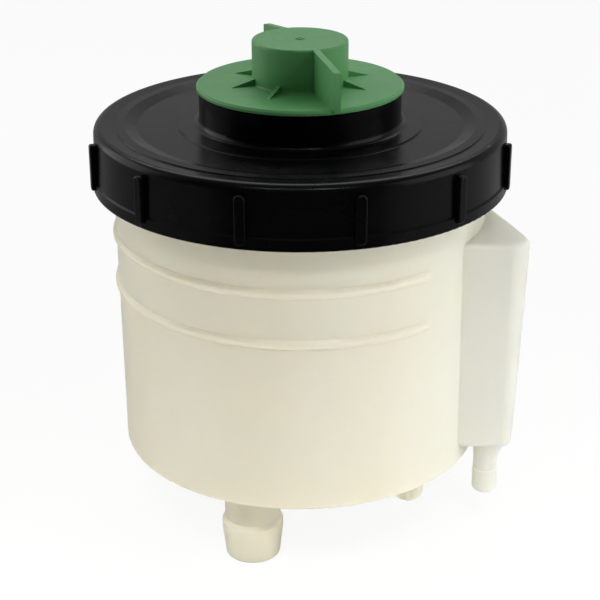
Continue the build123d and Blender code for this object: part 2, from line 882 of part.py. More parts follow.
# Filter element
def end_plate(face, rim_end, hole):
    """Pressed end plate: a flat disc with a hole and a rim turned over the paper."""
    with BuildPart() as plate:
        with BuildSketch(Plane.XY.offset(face)):
            Circle(plate_radius)
            Circle(hole, mode=Mode.SUBTRACT)
        extrude(amount=plate_thickness)
        with BuildSketch(Plane.XY.offset(min(face, rim_end))):
            Circle(plate_radius)
            Circle(plate_radius - plate_thickness, mode=Mode.SUBTRACT)
        extrude(amount=abs(rim_end - face))
    return plate.part


finish(end_plate(filter_bottom, filter_bottom + plate_rim, grommet_waist), "filter_bottom_plate")
finish(end_plate(filter_top, filter_top - plate_rim, bypass_hole_radius), "filter_top_plate")

with BuildPart() as filter_grommet:
    with BuildSketch(Plane.XZ):
        with BuildLine():
            Polyline(
                (grommet_inner_radius, seat_top),
                (seat_radius, seat_top),
                (seat_radius, filter_bottom),
                (grommet_waist, filter_bottom),
                (grommet_waist, filter_bottom + plate_thickness),
                (seat_radius, filter_bottom + plate_thickness),
                (seat_radius, filter_bottom + plate_thickness + grommet_lip),
                (grommet_inner_radius, filter_bottom + plate_thickness + grommet_lip),
                close=True,
            )
        make_face()
    revolve(axis=Axis.Z)
finish(filter_grommet.part, "filter_grommet")

with BuildPart() as filter_core:
    with BuildSketch(Plane.XY.offset(filter_bottom + plate_thickness)):
        Circle(core_radius)
        Circle(core_inner_radius, mode=Mode.SUBTRACT)
    extrude(amount=filter_top - filter_bottom - plate_thickness)
    core_step = (filter_top - filter_bottom) / (core_hole_rows + 1)
    for row in range(1, core_hole_rows + 1):
        for column in range(core_hole_columns // 2):
            turn = column * 360 / core_hole_columns
            with BuildSketch(radial_plane(turn)):
                with Locations((0, filter_bottom + row * core_step)):
                    Circle(core_hole_radius)
            extrude(amount=core_radius, both=True, mode=Mode.SUBTRACT)
finish(filter_core.part, "filter_core")

# The paper is one band, folded out and in: a star outside, and a like star a paper's thickness inside it
outer_star = []
inner_star = []
pleat_turn = 360 / paper_pleats
for fold in range(paper_pleats):
    crest_turn = fold * pleat_turn
    valley_turn = crest_turn + pleat_turn / 2
    outer_star += pleat(paper_outer, crest_turn, paper_thickness)
    outer_star.append(about_axis(paper_inner + paper_thickness, valley_turn)[:2])
    inner_star.append(about_axis(paper_outer - paper_thickness, crest_turn)[:2])
    inner_star += pleat(paper_inner, valley_turn, paper_thickness)
with BuildPart() as filter_paper:
    with BuildSketch(Plane.XY.offset(filter_bottom + plate_thickness)):
        with BuildLine():
            Polyline(*outer_star, close=True)
        make_face()
        with BuildLine():
            Polyline(*inner_star, close=True)
        make_face(mode=Mode.SUBTRACT)
    extrude(amount=filter_top - filter_bottom - plate_thickness)
finish(filter_paper.part, "filter_paper")

# Bypass valve on the top plate
disc_top = plate_top + bypass_disc_thickness
with BuildPart() as bypass_valve:
    with BuildSketch(Plane.XY.offset(plate_top)):
        Circle(bypass_disc_radius)
    extrude(amount=bypass_disc_thickness)
    with BuildSketch(Plane.XY.offset(disc_top)):
        Circle(bypass_boss_radius)
    extrude(amount=bypass_boss_height)
finish(bypass_valve.part, "bypass_valve")

with BuildPart() as bypass_cage:
    with BuildSketch(Plane.XY.offset(plate_top)):
        Circle(cage_radius)
    extrude(amount=cage_height)
    with BuildSketch(Plane.XY.offset(plate_top)):
        Circle(cage_radius - cage_wall)
    extrude(amount=cage_height - cage_wall, mode=Mode.SUBTRACT)
    with BuildSketch(Plane.XY.offset(plate_top)):
        Circle(bypass_boss_radius)
    extrude(amount=cage_height, mode=Mode.SUBTRACT)
    with BuildSketch(Plane.XY.offset(plate_top + cage_wall)):
        with PolarLocations(cage_radius, cage_windows):
            Rectangle(4 * cage_wall, cage_window_width)
    extrude(amount=cage_height - 3 * cage_wall, mode=Mode.SUBTRACT)
finish(bypass_cage.part, "bypass_cage")

bypass_spring = coil_spring(
    bypass_spring_radius,
    bypass_wire,
    bypass_spring_turns,
    disc_top,
    plate_top + cage_height - cage_wall,
)
finish(bypass_spring, "bypass_spring")

# Hold-down spring and its cup under the spider
with BuildPart() as spring_cup:
    with BuildSketch(Plane.XY.offset(cup_bottom)):
        Circle(cup_radius)
        Circle(cup_collar_radius - cup_collar_wall, mode=Mode.SUBTRACT)
    extrude(amount=cup_thickness)
    with BuildSketch(Plane.XY.offset(cup_bottom)):
        Circle(cup_collar_radius)
        Circle(cup_collar_radius - cup_collar_wall, mode=Mode.SUBTRACT)
    extrude(amount=-cup_collar_depth)
finish(spring_cup.part, "spring_cup")

hold_down_spring = coil_spring(hold_spring_radius, hold_wire, hold_spring_turns, plate_top, cup_bottom)
finish(hold_down_spring, "hold_down_spring")
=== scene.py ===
"""Power steering reservoir: the surface finishes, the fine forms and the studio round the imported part."""

import logging
import math
from collections.abc import Callable
from dataclasses import dataclass, field
from enum import Enum

import bpy
from mathutils import Matrix, Vector


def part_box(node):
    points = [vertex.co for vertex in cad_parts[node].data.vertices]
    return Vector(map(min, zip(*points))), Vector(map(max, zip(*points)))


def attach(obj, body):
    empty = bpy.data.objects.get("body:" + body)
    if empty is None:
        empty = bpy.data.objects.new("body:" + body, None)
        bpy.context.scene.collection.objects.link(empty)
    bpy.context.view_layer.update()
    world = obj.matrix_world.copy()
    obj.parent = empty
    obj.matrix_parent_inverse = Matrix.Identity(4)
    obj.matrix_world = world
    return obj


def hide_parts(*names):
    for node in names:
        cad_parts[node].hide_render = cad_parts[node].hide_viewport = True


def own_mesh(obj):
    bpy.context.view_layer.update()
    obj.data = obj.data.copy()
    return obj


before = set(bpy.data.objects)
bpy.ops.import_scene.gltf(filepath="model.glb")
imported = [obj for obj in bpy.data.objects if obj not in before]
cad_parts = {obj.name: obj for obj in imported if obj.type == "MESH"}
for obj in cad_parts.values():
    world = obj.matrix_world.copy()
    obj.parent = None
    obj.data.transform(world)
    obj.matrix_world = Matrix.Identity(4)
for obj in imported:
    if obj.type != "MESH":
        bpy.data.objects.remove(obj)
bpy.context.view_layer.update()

logging.basicConfig(level=logging.INFO, format="%(message)s")
log = logging.getLogger("reservoir")

Colour = tuple[float, float, float]
Socket = bpy.types.NodeSocket
MM = 0.001
NOISE_LOW = 0.3
NOISE_HIGH = 0.7


class Body(Enum):
    """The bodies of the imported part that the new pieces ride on."""

    TANK = "tank"
    LID = "lid"
    CAP = "cap"


class Weave(Enum):
    """How a cloth or gauze is laid."""

    GAUZE = "gauze"
    FELT = "felt"


class Graph:
    """The node tree of one material, with its Principled shader and its Object coordinates."""

    def __init__(self, name: str) -> None:
        """Start an empty tree that ends in a Principled shader.

        Args:
            name: The material's name.
        """
        self.material = bpy.data.materials.new(name)
        self.material.use_nodes = True
        self.nodes = self.material.node_tree.nodes
        self.links = self.material.node_tree.links
        self.nodes.clear()
        self.output = self.nodes.new("ShaderNodeOutputMaterial")
        self.shader = self.nodes.new("ShaderNodeBsdfPrincipled")
        self.links.new(self.shader.outputs["BSDF"], self.output.inputs["Surface"])
        self.place = self.nodes.new("ShaderNodeTexCoord").outputs["Object"]

    def stretched(self, scale: Colour) -> Socket:
        """Object coordinates stretched along each axis.

        Args:
            scale: The factor along X, Y and Z.

        Returns:
            The stretched coordinates.
        """
        mapping = self.nodes.new("ShaderNodeMapping")
        mapping.inputs["Scale"].default_value = scale
        self.links.new(self.place, mapping.inputs["Vector"])
        return mapping.outputs["Vector"]

    def noise(
        self, size: float, detail: float = 3.0, stretch: Colour = (1, 1, 1), warp: float = 0.0
    ) -> Socket:
        """Cloudy noise whose patches have a real size.

        Args:
            size: The size of a patch in metres.
            detail: How many finer layers the noise has.
            stretch: The factor along each axis, under 1 for a longer patch.
            warp: How far the patches are distorted.

        Returns:
            The noise, from 0 to 1.
        """
        node = self.nodes.new("ShaderNodeTexNoise")
        node.inputs["Scale"].default_value = 1 / size
        node.inputs["Detail"].default_value = detail
        node.inputs["Distortion"].default_value = warp
        self.links.new(self.stretched(stretch), node.inputs["Vector"])
        return node.outputs["Fac"]

    def fitted(
        self, value: Socket, low: float, high: float, to_low: float, to_high: float
    ) -> Socket:
        """Map a range of a value onto another range, held at both ends.

        Args:
            value: The value to map.
            low: Where its range starts.
            high: Where its range ends.
            to_low: What the start becomes.
            to_high: What the end becomes.

        Returns:
            The mapped value.
        """
        node = self.nodes.new("ShaderNodeMapRange")
        node.inputs["From Min"].default_value = low
        node.inputs["From Max"].default_value = high
        node.inputs["To Min"].default_value = to_low
        node.inputs["To Max"].default_value = to_high
        self.links.new(value, node.inputs["Value"])
        return node.outputs["Result"]

    def blended(self, factor: Socket, first: Colour, second: Colour) -> Socket:
        """Blend two colours by a value.

        Args:
            factor: The value, 0 for the first colour and 1 for the second.
            first: The first colour.
            second: The second colour.

        Returns:
            The blended colour.
        """
        node = self.nodes.new("ShaderNodeMix")
        node.data_type = "RGBA"
        node.inputs["A"].default_value = (*first, 1)
        node.inputs["B"].default_value = (*second, 1)
        self.links.new(factor, node.inputs["Factor"])
        return node.outputs["Result"]

    def overlaid(self, factor: Socket, under: Socket, over: Colour) -> Socket:
        """Lay a colour over another one where a value is high.

        Args:
            factor: The value, 1 where the upper colour covers.
            under: The lower colour.
            over: The upper colour.

        Returns:
            The result.
        """
        node = self.nodes.new("ShaderNodeMix")
        node.data_type = "RGBA"
        node.inputs["B"].default_value = (*over, 1)
        self.links.new(under, node.inputs["A"])
        self.links.new(factor, node.inputs["Factor"])
        return node.outputs["Result"]

    def maths(self, operation: str, first: Socket, second: Socket | float) -> Socket:
        """Combine two values.

        Args:
            operation: The name of the operation, such as MULTIPLY.
            first: The first value.
            second: The second value, or a number.

        Returns:
            The result.
        """
        node = self.nodes.new("ShaderNodeMath")
        node.operation = operation
        self.links.new(first, node.inputs[0])
        if isinstance(second, float):
            node.inputs[1].default_value = second
        else:
            self.links.new(second, node.inputs[1])
        return node.outputs["Value"]

    def radius(self) -> Socket:
        """The distance from the tank's axis, in metres."""
        parts = self.nodes.new("ShaderNodeSeparateXYZ")
        self.links.new(self.place, parts.inputs["Vector"])
        joined = self.nodes.new("ShaderNodeCombineXYZ")
        self.links.new(parts.outputs["X"], joined.inputs["X"])
        self.links.new(parts.outputs["Y"], joined.inputs["Y"])
        length = self.nodes.new("ShaderNodeVectorMath")
        length.operation = "LENGTH"
        self.links.new(joined.outputs["Vector"], length.inputs[0])
        return length.outputs["Value"]

    def across(self) -> Socket:
        """The distance from the tank's axis towards its side chamber, in metres."""
        parts = self.nodes.new("ShaderNodeSeparateXYZ")
        self.links.new(self.place, parts.inputs["Vector"])
        return parts.outputs["X"]

    def bump(self, relief: Socket, depth: float, strength: float = 1.0) -> None:
        """Give the shader a relief, laid over the relief that it already has.

        Args:
            relief: The relief, from 0 to 1.
            depth: Its depth in metres.
            strength: How far it counts.
        """
        node = self.nodes.new("ShaderNodeBump")
        node.inputs["Distance"].default_value = depth
        node.inputs["Strength"].default_value = strength
        self.links.new(relief, node.inputs["Height"])
        normal = self.shader.inputs["Normal"]
        if normal.is_linked:
            self.links.new(normal.links[0].from_socket, node.inputs["Normal"])
        self.links.new(node.outputs["Normal"], normal)

    def drive(self, name: str, value: Socket) -> None:
        """Link a value to one of the shader's sockets.

        Args:
            name: The socket's name.
            value: The value.
        """
        self.links.new(value, self.shader.inputs[name])

    def hold(self, **sockets: float | tuple[float, ...]) -> None:
        """Set shader sockets to constants.

        Args:
            sockets: Each socket's value, by its name with underscores for spaces.
        """
        for name, value in sockets.items():
            self.shader.inputs[name.replace("_", " ")].default_value = value


@dataclass(frozen=True)
class MilkyFinish:
    """Natural polyethylene: milky, with soft clouds and a faint ripple, and with painted light: a whiter
    base colour towards the side chamber.
    """

    name: str = "milky_polyethylene"
    colour: Colour = (0.86, 0.80, 0.63)
    cloud_colour: Colour = (0.885, 0.84, 0.69)
    cloud_size: float = 0.055
    # Painted light: a whiter colour blended in from 30 to 75 mm along X, standing in for the brighter light
    # on the side chamber.
    painted_light_colour: Colour = (0.97, 0.93, 0.79)
    painted_light_from: float = 0.03
    painted_light_to: float = 0.075
    roughness: float = 0.32
    ripple_size: float = 0.018
    ripple_depth: float = 0.0005
    grain_size: float = 0.0009
    grain_depth: float = 0.00002
    milkiness: float = 0.8
    reach_of_light: Colour = (1.0, 0.95, 0.8)
    depth_of_light: float = 0.004
    ior: float = 1.5

    def build(self) -> bpy.types.Material:
        """Make the material."""
        graph = Graph(self.name)
        clouds = graph.noise(self.cloud_size, 4.0, (1, 1, 0.6), 0.6)
        clouds = graph.fitted(clouds, NOISE_LOW, NOISE_HIGH, 0, 1)
        # Painted light: the base colour turns whiter towards the side chamber, standing in for its brighter
        # light; the real moulding is one material.
        painted_light_share = graph.fitted(graph.across(), self.painted_light_from, self.painted_light_to, 0, 1)
        wall = graph.blended(clouds, self.colour, self.cloud_colour)
        graph.drive("Base Color", graph.overlaid(painted_light_share, wall, self.painted_light_colour))
        smears = graph.noise(self.cloud_size / 3, 3.0, (1, 1, 0.6), 0.15)
        low, high = self.roughness - 0.03, self.roughness + 0.04
        graph.drive("Roughness", graph.fitted(smears, NOISE_LOW, NOISE_HIGH, low, high))
        graph.bump(graph.noise(self.ripple_size, 1.0, (1, 1, 0.5)), self.ripple_depth, 0.35)
        graph.bump(graph.noise(self.grain_size, 2.0), self.grain_depth, 0.5)
        graph.hold(
            Subsurface_Weight=self.milkiness,
            Subsurface_Radius=self.reach_of_light,
            Subsurface_Scale=self.depth_of_light,
            IOR=self.ior,
        )
        return graph.material


@dataclass(frozen=True)
class MouldedFinish:
    """Solid-coloured moulded plastic with a fine grain, faint marks from the turned mould and scuffs."""

    name: str
    colour: Colour
    cloud_colour: Colour
    scuff_colour: Colour
    roughness: float
    roughness_spread: float = 0.07
    cloud_size: float = 0.03
    grain_size: float = 0.0007
    grain_depth: float = 0.00002
    turning_pitch: float = 0.0011
    turning_depth: float = 0.0
    scuff_share: float = 0.05
    ior: float = 1.5

    def build(self) -> bpy.types.Material:
        """Make the material."""
        graph = Graph(self.name)
        clouds = graph.noise(self.cloud_size, 5.0, (1, 1, 1), 0.4)
        patches = graph.fitted(clouds, NOISE_LOW, NOISE_HIGH, 0, 1)
        colour = graph.blended(patches, self.colour, self.cloud_colour)
        scratches = graph.noise(0.004, 6.0, (1, 0.12, 0.5), 2.5)
        scuffs = graph.fitted(scratches, 0.66, 0.8, 0, self.scuff_share * 10)
        graph.drive("Base Color", graph.overlaid(scuffs, colour, self.scuff_colour))
        smears = graph.noise(self.cloud_size / 2, 6.0, (1, 1, 1), 1.2)
        low, high = self.roughness - self.roughness_spread, self.roughness + self.roughness_spread
        graph.drive("Roughness", graph.fitted(smears, NOISE_LOW, NOISE_HIGH, low, high))
        if self.turning_depth:
            angle = graph.maths("MULTIPLY", graph.radius(), 2 * math.pi / self.turning_pitch)
            turns = graph.maths("SINE", angle, 0.0)
            graph.bump(graph.fitted(turns, -1, 1, 0, 1), self.turning_depth, 0.3)
        graph.bump(graph.noise(self.grain_size, 3.0), self.grain_depth, 0.6)
        graph.hold(IOR=self.ior)
        return graph.material


@dataclass(frozen=True)
class MetalFinish:
    """Sheet or wire metal with a drawn grain and dulled patches."""

    name: str
    colour: Colour
    dull_colour: Colour
    roughness: float
    grain: Colour = (1, 1, 12)

    def build(self) -> bpy.types.Material:
        """Make the material."""
        graph = Graph(self.name)
        patches = graph.fitted(graph.noise(0.012, 4.0, (1, 1, 1), 0.5), 0.35, 0.7, 0, 1)
        graph.drive("Base Color", graph.blended(patches, self.colour, self.dull_colour))
        lines = graph.noise(0.004, 5.0, self.grain)
        low, high = self.roughness - 0.08, self.roughness + 0.1
        graph.drive("Roughness", graph.fitted(lines, NOISE_LOW, NOISE_HIGH, low, high))
        graph.bump(lines, 0.00003, 0.4)
        graph.hold(Metallic=1.0)
        return graph.material


@dataclass(frozen=True)
class ClothFinish:
    """Gauze or felt, by its weave, with painted shade in the low parts of its relief."""

    name: str
    colour: Colour
    shade: Colour
    weave: Weave
    pitch: float
    metallic: float = 0.0

    def build(self) -> bpy.types.Material:
        """Make the material."""
        graph = Graph(self.name)
        if self.weave is Weave.GAUZE:
            relief = self._threads(graph)
        else:
            relief = graph.noise(self.pitch, 6.0, (1, 1, 0.3), 1.5)
        # Painted shade: the low parts of the relief take the darker shade colour, the raised threads and
        # fibres the lighter one.
        raised = graph.fitted(relief, 0.2, 0.8, 0, 1)
        graph.drive("Base Color", graph.blended(raised, self.shade, self.colour))
        graph.bump(relief, self.pitch / 3, 0.8)
        graph.hold(Roughness=0.5 if self.metallic else 0.95, Metallic=self.metallic)
        return graph.material

    def _threads(self, graph: Graph) -> Socket:
        """Crossed threads.

        Args:
            graph: The material's graph.

        Returns:
            The relief, from 0 to 1.
        """
        waves = []
        for direction in ("X", "Y", "Z"):
            wave = graph.nodes.new("ShaderNodeTexWave")
            wave.bands_direction = direction
            wave.inputs["Scale"].default_value = math.pi / 10 / self.pitch
            graph.links.new(graph.place, wave.inputs["Vector"])
            waves.append(wave.outputs["Fac"])
        crossed = graph.maths("MAXIMUM", waves[0], waves[1])
        return graph.maths("MAXIMUM", crossed, waves[2])


@dataclass(frozen=True)
class PaperFinish:
    """Resin-dipped filter paper."""

    name: str = "filter_paper_finish"
    colour: Colour = (0.66, 0.52, 0.30)
    fibre_colour: Colour = (0.52, 0.38, 0.20)

    def build(self) -> bpy.types.Material:
        """Make the material."""
        graph = Graph(self.name)
        fibres = graph.noise(0.0011, 6.0, (1, 1, 0.35), 1.0)
        shown = graph.fitted(fibres, NOISE_LOW, 0.75, 0, 1)
        graph.drive("Base Color", graph.blended(shown, self.colour, self.fibre_colour))
        graph.bump(fibres, 0.0001, 0.6)
        graph.hold(Roughness=0.85)
        return graph.material


@dataclass(frozen=True)
class RubberFinish:
    """Black oil-proof rubber, dull, with a faint bloom."""

    name: str = "oil_proof_rubber"
    colour: Colour = (0.018, 0.018, 0.019)
    bloom_colour: Colour = (0.05, 0.05, 0.052)

    def build(self) -> bpy.types.Material:
        """Make the material."""
        graph = Graph(self.name)
        bloom = graph.noise(0.006, 5.0, (1, 1, 1), 0.8)
        dulled = graph.fitted(bloom, 0.45, 0.8, 0, 1)
        graph.drive("Base Color", graph.blended(dulled, self.colour, self.bloom_colour))
        graph.bump(graph.noise(0.0005, 3.0), 0.00004, 0.6)
        graph.hold(Roughness=0.62)
        return graph.material


@dataclass
class Finishes:
    """Every finish of the reservoir, made once."""

    tank: bpy.types.Material = field(default_factory=lambda: MilkyFinish().build())
    lid: bpy.types.Material = field(
        default_factory=lambda: MouldedFinish(
            name="black_polyamide",
            colour=(0.0012, 0.0012, 0.0014),
            cloud_colour=(0.0022, 0.0022, 0.0024),
            scuff_colour=(0.012, 0.012, 0.013),
            roughness=0.25,
            roughness_spread=0.04,
            ior=1.22,
            turning_depth=0.00002,
            scuff_share=0.03,
        ).build()
    )
    cap: bpy.types.Material = field(
        default_factory=lambda: MouldedFinish(
            name="green_polypropylene",
            colour=(0.1075, 0.362, 0.121),
            cloud_colour=(0.1255, 0.398, 0.141),
            scuff_colour=(0.2, 0.42, 0.24),
            roughness=0.4,
            ior=1.35,
            scuff_share=0.03,
        ).build()
    )
    natural: bpy.types.Material = field(
        default_factory=lambda: MouldedFinish(
            name="natural_polyamide",
            colour=(0.70, 0.67, 0.58),
            cloud_colour=(0.76, 0.74, 0.66),
            scuff_colour=(0.8, 0.8, 0.76),
            roughness=0.4,
        ).build()
    )
    rubber: bpy.types.Material = field(default_factory=lambda: RubberFinish().build())
    felt: bpy.types.Material = field(
        default_factory=lambda: ClothFinish(
            "breather_felt", (0.6, 0.57, 0.5), (0.42, 0.4, 0.35), Weave.FELT, 0.0012
        ).build()
    )
    gauze: bpy.types.Material = field(
        default_factory=lambda: ClothFinish(
            "steel_gauze", (0.62, 0.62, 0.63), (0.1, 0.1, 0.1), Weave.GAUZE, 0.0008, 1.0
        ).build()
    )
    plate: bpy.types.Material = field(
        default_factory=lambda: MetalFinish(
            "zinc_plated_sheet", (0.62, 0.63, 0.66), (0.5, 0.5, 0.5), 0.36
        ).build()
    )
    wire: bpy.types.Material = field(
        default_factory=lambda: MetalFinish(
            "drawn_spring_wire", (0.4, 0.4, 0.42), (0.26, 0.25, 0.25), 0.34
        ).build()
    )
    paper: bpy.types.Material = field(default_factory=lambda: PaperFinish().build())


class Bench:
    """Where pieces are shaped: common steps of modelling with operators."""

    @staticmethod
    def clear() -> None:
        """Deselect everything."""
        bpy.ops.object.select_all(action="DESELECT")

    @staticmethod
    def pick(piece: bpy.types.Object, wanted: Callable[[Vector], bool]) -> None:
        """Select the vertices of the piece in edit mode whose place is wanted, and no others.

        Args:
            piece: The piece, in edit mode.
            wanted: Says whether a place is wanted.
        """
        bpy.ops.mesh.select_all(action="DESELECT")
        bpy.ops.object.mode_set(mode="OBJECT")
        for vertex in piece.data.vertices:
            vertex.select = wanted(vertex.co)
        bpy.ops.object.mode_set(mode="EDIT")

    @staticmethod
    def settle(piece: bpy.types.Object, name: str) -> bpy.types.Object:
        """Bring the piece's object to the origin with its place in its mesh, and name it.

        Args:
            piece: The piece.
            name: Its name.

        Returns:
            The piece.
        """
        Bench.clear()
        piece.select_set(True)
        bpy.context.view_layer.objects.active = piece
        bpy.ops.object.transform_apply(location=True, rotation=True, scale=True)
        piece.name = name
        return piece

    @staticmethod
    def tidy(merge: float) -> None:
        """Merge doubles and turn the faces outwards, in edit mode.

        Args:
            merge: The distance under which vertices are merged, in metres.
        """
        bpy.ops.mesh.select_all(action="SELECT")
        bpy.ops.mesh.remove_doubles(threshold=merge)
        bpy.ops.mesh.normals_make_consistent(inside=False)

    @staticmethod
    def join(pieces: list[bpy.types.Object], name: str) -> bpy.types.Object:
        """Join pieces to one.

        Args:
            pieces: The pieces.
            name: The name of the joined piece.

        Returns:
            The joined piece.
        """
        Bench.clear()
        for piece in pieces:
            piece.select_set(True)
        bpy.context.view_layer.objects.active = pieces[0]
        bpy.ops.object.join()
        return Bench.settle(pieces[0], name)

    @staticmethod
    def smooth(piece: bpy.types.Object, angle: float) -> None:
        """Shade the piece smooth up to an angle.

        Args:
            piece: The piece.
            angle: The angle in degrees.
        """
        Bench.clear()
        piece.select_set(True)
        bpy.context.view_layer.objects.active = piece
        bpy.ops.object.shade_smooth_by_angle(angle=math.radians(angle))


class Assembly:
    """What every sub-assembly does with its nodes and its new pieces."""

    def dress(self, material: bpy.types.Material, *nodes: str) -> None:
        """Give carried-over nodes their finish.

        Args:
            material: The finish.
            nodes: The nodes' names.
        """
        for node in nodes:
            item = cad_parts[node]
            item.data.materials.clear()
            item.data.materials.append(material)
            log.info("%s: node %s takes %s", type(self).__name__, node, material.name)

    def mount(self, piece: bpy.types.Object, material: bpy.types.Material, slot: str, body: Body) -> None:
        """Give a new piece its finish and the body that it rides on.

        Args:
            piece: The piece.
            material: Its finish.
            slot: The material slot, not used.
            body: The body.
        """
        piece.data.materials.clear()
        piece.data.materials.append(material)
        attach(piece, body.value)
        log.info("%s: piece %s, %d faces", type(self).__name__, piece.name, len(piece.data.polygons))


@dataclass
class Tank(Assembly):
    """The translucent tank with its side chamber and hose ends."""

    finishes: Finishes
    gate_radius: float = 4.2 * MM
    gate_rim: float = 0.7 * MM
    gate_depth: float = 0.5 * MM
    sprue_radius: float = 1.1 * MM
    sprue_height: float = 0.9 * MM
    sprue_taper: Colour = (0.8, 0.75, 1)
    gate_sink: float = 0.6 * MM
    gate_sides: int = 48
    smooth_angle: float = 35.0

    def build(self) -> None:
        """Dress the tank and add the mark that the mould's gate left under it."""
        self.dress(self.finishes.tank, "tank_body")
        self.mount(self._gate_mark(), self.finishes.tank, "tank_plastic", Body.TANK)

    def _gate_mark(self) -> bpy.types.Object:
        """A low ring with the stub of the cut sprue in its middle, under the tank's floor."""
        Bench.clear()
        bpy.ops.mesh.primitive_circle_add(
            vertices=self.gate_sides,
            radius=self.gate_radius,
            fill_type="NGON",
            location=(0, 0, self.gate_sink),
        )
        mark = bpy.context.object
        bpy.ops.object.mode_set(mode="EDIT")
        drop = self.gate_sink + self.gate_depth
        bpy.ops.mesh.select_all(action="SELECT")
        bpy.ops.mesh.extrude_region_move(TRANSFORM_OT_translate={"value": (0, 0, -drop)})
        bpy.ops.mesh.inset(thickness=self.gate_rim)
        bpy.ops.transform.translate(value=(0, 0, self.gate_depth * 0.9))
        bpy.ops.mesh.inset(thickness=self.gate_radius - self.gate_rim - self.sprue_radius)
        bpy.ops.mesh.extrude_region_move(TRANSFORM_OT_translate={"value": (0, 0, -self.sprue_height)})
        bpy.ops.transform.resize(value=self.sprue_taper)
        bpy.ops.mesh.select_all(action="SELECT")
        bpy.ops.mesh.bevel(offset=self.gate_rim / 5, segments=2, affect="EDGES", clamp_overlap=True)
        Bench.tidy(MM / 1000)
        bpy.ops.object.mode_set(mode="OBJECT")
        Bench.smooth(mark, self.smooth_angle)
        return Bench.settle(mark, "gate_mark")


@dataclass
class ScrewLid(Assembly):
    """The black screw lid with its grip ribs, and its seal."""

    finishes: Finishes

    def build(self) -> None:
        """Dress the lid and its seal."""
        self.dress(self.finishes.lid, "screw_lid")
        self.dress(self.finishes.rubber, "lid_seal")


@dataclass
class FillerCap(Assembly):
    """The green filler cap with its seal and the breather in its knob."""

    finishes: Finishes
    felt_gap: float = 0.1 * MM
    felt_edge: float = 0.7 * MM
    felt_fuzz: float = 0.12 * MM
    felt_lump: float = 1.4 * MM
    felt_sides: int = 96
    felt_cuts: int = 3
    smooth_angle: float = 60.0

    def build(self) -> None:
        """Dress the cap, its seal and the breather, and replace the breather's felt."""
        self.dress(self.finishes.cap, "filler_cap", "vent_retainer")
        self.dress(self.finishes.rubber, "cap_seal", "vent_valve")
        self.dress(self.finishes.felt, "vent_felt")
        felt = self._felt_pad()
        self.mount(felt, self.finishes.felt, "felt", Body.CAP)
        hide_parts("vent_felt")

    def _felt_pad(self) -> bpy.types.Object:
        """The felt disc with soft edges and a fuzzy face, where the part's own disc lies."""
        low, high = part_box("vent_felt")
        room = self.felt_gap + self.felt_fuzz
        Bench.clear()
        bpy.ops.mesh.primitive_cylinder_add(
            vertices=self.felt_sides,
            radius=high[0] - room,
            depth=high[2] - low[2] - 2 * room,
            end_fill_type="TRIFAN",
            location=(0, 0, (high[2] + low[2]) / 2),
        )
        felt = bpy.context.object
        Bench.settle(felt, "breather_felt_pad")
        bevel = felt.modifiers.new("soft_edge", "BEVEL")
        bevel.width = self.felt_edge
        bevel.segments = 3
        bevel.limit_method = "ANGLE"
        bpy.ops.object.modifier_apply(modifier=bevel.name)
        bpy.ops.object.mode_set(mode="EDIT")
        bpy.ops.mesh.select_all(action="SELECT")
        bpy.ops.mesh.subdivide(number_cuts=self.felt_cuts)
        bpy.ops.object.mode_set(mode="OBJECT")
        lumps = bpy.data.textures.new("felt_lumps", "CLOUDS")
        lumps.noise_scale = self.felt_lump
        fuzz = felt.modifiers.new("fuzz", "DISPLACE")
        fuzz.texture = lumps
        fuzz.texture_coords = "LOCAL"
        fuzz.strength = 2 * self.felt_fuzz
        bpy.ops.object.modifier_apply(modifier=fuzz.name)
        Bench.smooth(felt, self.smooth_angle)
        return felt


@dataclass
class Strainer(Assembly):
    """The basket in the filler neck, with a cup of woven gauze."""

    finishes: Finishes
    cup_radius: float = 28.55 * MM
    cup_bottom: float = 120.05 * MM
    cup_top: float = 130.9 * MM
    pitch: float = 1.4 * MM
    wire: float = 0.34 * MM
    smooth_angle: float = 80.0

    def build(self) -> None:
        """Dress the frame and replace its gauze by woven wires."""
        self.dress(self.finishes.natural, "strainer_frame")
        self.dress(self.finishes.gauze, "strainer_mesh")
        gauze = self._gauze()
        self.mount(gauze, self.finishes.gauze, "steel_mesh", Body.LID)
        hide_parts("strainer_mesh")

    def _gauze(self) -> bpy.types.Object:
        """The cup: a flat cloth for its floor and a rolled one for its wall."""
        gauze = Bench.join([self._floor_cloth(), self._wall_cloth()], "strainer_gauze")
        wires = gauze.modifiers.new("wires", "WIREFRAME")
        wires.thickness = self.wire
        wires.use_even_offset = False
        bpy.ops.object.modifier_apply(modifier=wires.name)
        Bench.smooth(gauze, self.smooth_angle)
        return gauze

    def _floor_cloth(self) -> bpy.types.Object:
        """The round cloth of the cup's floor."""
        count = 2 * round(self.cup_radius / self.pitch)
        Bench.clear()
        bpy.ops.mesh.primitive_grid_add(
            x_subdivisions=count,
            y_subdivisions=count,
            size=count * self.pitch,
            location=(0, 0, self.cup_bottom),
        )
        cloth = bpy.context.object
        Bench.settle(cloth, "floor_cloth")
        bpy.ops.object.mode_set(mode="EDIT")
        Bench.pick(cloth, lambda place: math.hypot(place.x, place.y) > self.cup_radius)
        bpy.ops.mesh.delete(type="VERT")
        bpy.ops.object.mode_set(mode="OBJECT")
        return cloth

    def _wall_cloth(self) -> bpy.types.Object:
        """The rolled cloth of the cup's wall."""
        around = round(2 * math.pi * self.cup_radius / self.pitch)
        rows = round((self.cup_top - self.cup_bottom) / self.pitch)
        Bench.clear()
        bpy.ops.mesh.primitive_circle_add(
            vertices=around, radius=self.cup_radius, location=(0, 0, self.cup_bottom)
        )
        cloth = bpy.context.object
        Bench.settle(cloth, "wall_cloth")
        bpy.ops.object.mode_set(mode="EDIT")
        bpy.ops.mesh.select_all(action="SELECT")
        rise = (self.cup_top - self.cup_bottom) / rows
        for _ in range(rows):
            bpy.ops.mesh.extrude_edges_move(TRANSFORM_OT_translate={"value": (0, 0, rise)})
        bpy.ops.object.mode_set(mode="OBJECT")
        return cloth


